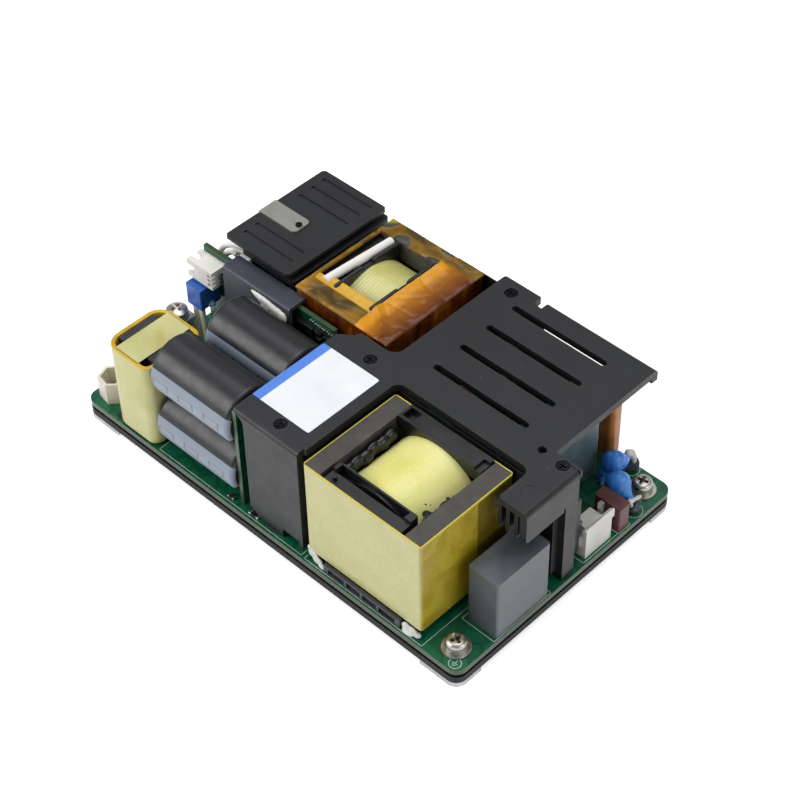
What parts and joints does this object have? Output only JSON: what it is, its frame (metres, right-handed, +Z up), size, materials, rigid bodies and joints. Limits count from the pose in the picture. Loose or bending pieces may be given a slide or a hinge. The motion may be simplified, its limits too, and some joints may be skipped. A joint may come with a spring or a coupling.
{
  "type": "open frame power supply",
  "caption": "Open frame power supply: components under folded heatsinks on a circuit board over a flat base plate with corner feet.",
  "frame": {"origin": "middle of the feet's underside, under the middle of the board", "axes": "+X along the board, from the output terminals to the mains connector; +Y from the lying capacitors to the rear heatsink; +Z up, away from the base plate"},
  "size_m": [0.127, 0.0774, 0.0402],
  "materials": {
    "black_plate": "satin",
    "foot_metal": "satin",
    "clear_sheet": "satin",
    "green_board": "gloss",
    "nickel_screw": "gloss",
    "black_screw": "satin",
    "white_plastic": "satin",
    "dark_aluminium": "satin",
    "bare_metal": "satin",
    "tin_lead": "gloss",
    "black_resin": "satin",
    "label_white": "satin",
    "ferrite": "matte",
    "yellow_tape": "satin",
    "amber_tape": "gloss",
    "black_bobbin": "satin",
    "can_sleeve": "satin",
    "seal_rubber": "matte",
    "smoothing_sleeve": "satin",
    "blue_case": "gloss",
    "white_sleeve": "satin",
    "grey_case": "satin",
    "cream_case": "satin",
    "orange_dip": "gloss",
    "blue_disc": "gloss",
    "fuse_case": "satin",
    "grey_dot": "satin",
    "copper_wire": "gloss",
    "core_green": "satin"
  },
  "bodies": {
    "root": {"base_feet": "foot_metal", "base_plate": "black_plate", "blank_label": "label_white", "block_capacitor": "grey_case", "blue_box_capacitor": "blue_case", "board_screws": "nickel_screw", "bridge_rectifier": "black_resin", "capacitor_board": "green_board", "capacitor_seals": "seal_rubber", "choke_bobbin": "black_bobbin", "choke_core": "ferrite", "choke_label": "yellow_tape", "choke_tape": "yellow_tape", "choke_winding": "copper_wire", "comb_stud": "dark_aluminium", "component_leads": "tin_lead", "control_board": "green_board", "control_board_chips": "black_resin", "cream_box_capacitor": "cream_case", "device_clips": "bare_metal", "disc_capacitors": "blue_disc", "fin_comb": "dark_aluminium", "flat_washers": "nickel_screw", "folded_bracket": "dark_aluminium", "front_transformer_bobbin": "black_bobbin", "front_transformer_core": "ferrite", "front_transformer_tape": "yellow_tape", "front_transformer_winding": "yellow_tape", "fuse": "fuse_case", "ground_strap": "bare_metal", "heatsink_posts": "bare_metal", "heatsink_screws": "black_screw", "hex_guard": "white_plastic", "insulation_sheet": "clear_sheet", "lead_sleeve": "white_sleeve", "line_choke_base": "black_bobbin", "line_choke_core": "core_green", "line_choke_windings": "copper_wire", "lying_capacitors": "can_sleeve", "main_board": "green_board", "main_heatsink": "dark_aluminium", "mains_connector": "white_plastic", "mains_connector_pins": "tin_lead", "orange_dipped_capacitor": "orange_dip", "output_terminals": "tin_lead", "power_transistor": "black_resin", "rear_heatsink_base": "dark_aluminium", "rear_heatsink_top": "dark_aluminium", "rear_transformer_bobbin": "black_bobbin", "rear_transformer_core": "ferrite", "rear_transformer_tape": "amber_tape", "rear_transformer_winding": "yellow_tape", "signal_connector": "white_plastic", "signal_contacts": "tin_lead", "sleeved_legs": "white_sleeve", "smoothing_capacitors": "smoothing_sleeve", "spring_washers": "nickel_screw", "strap_rivet": "black_screw", "surge_absorber": "grey_dot", "terminal_screws": "nickel_screw"}
  },
  "joints": []
}
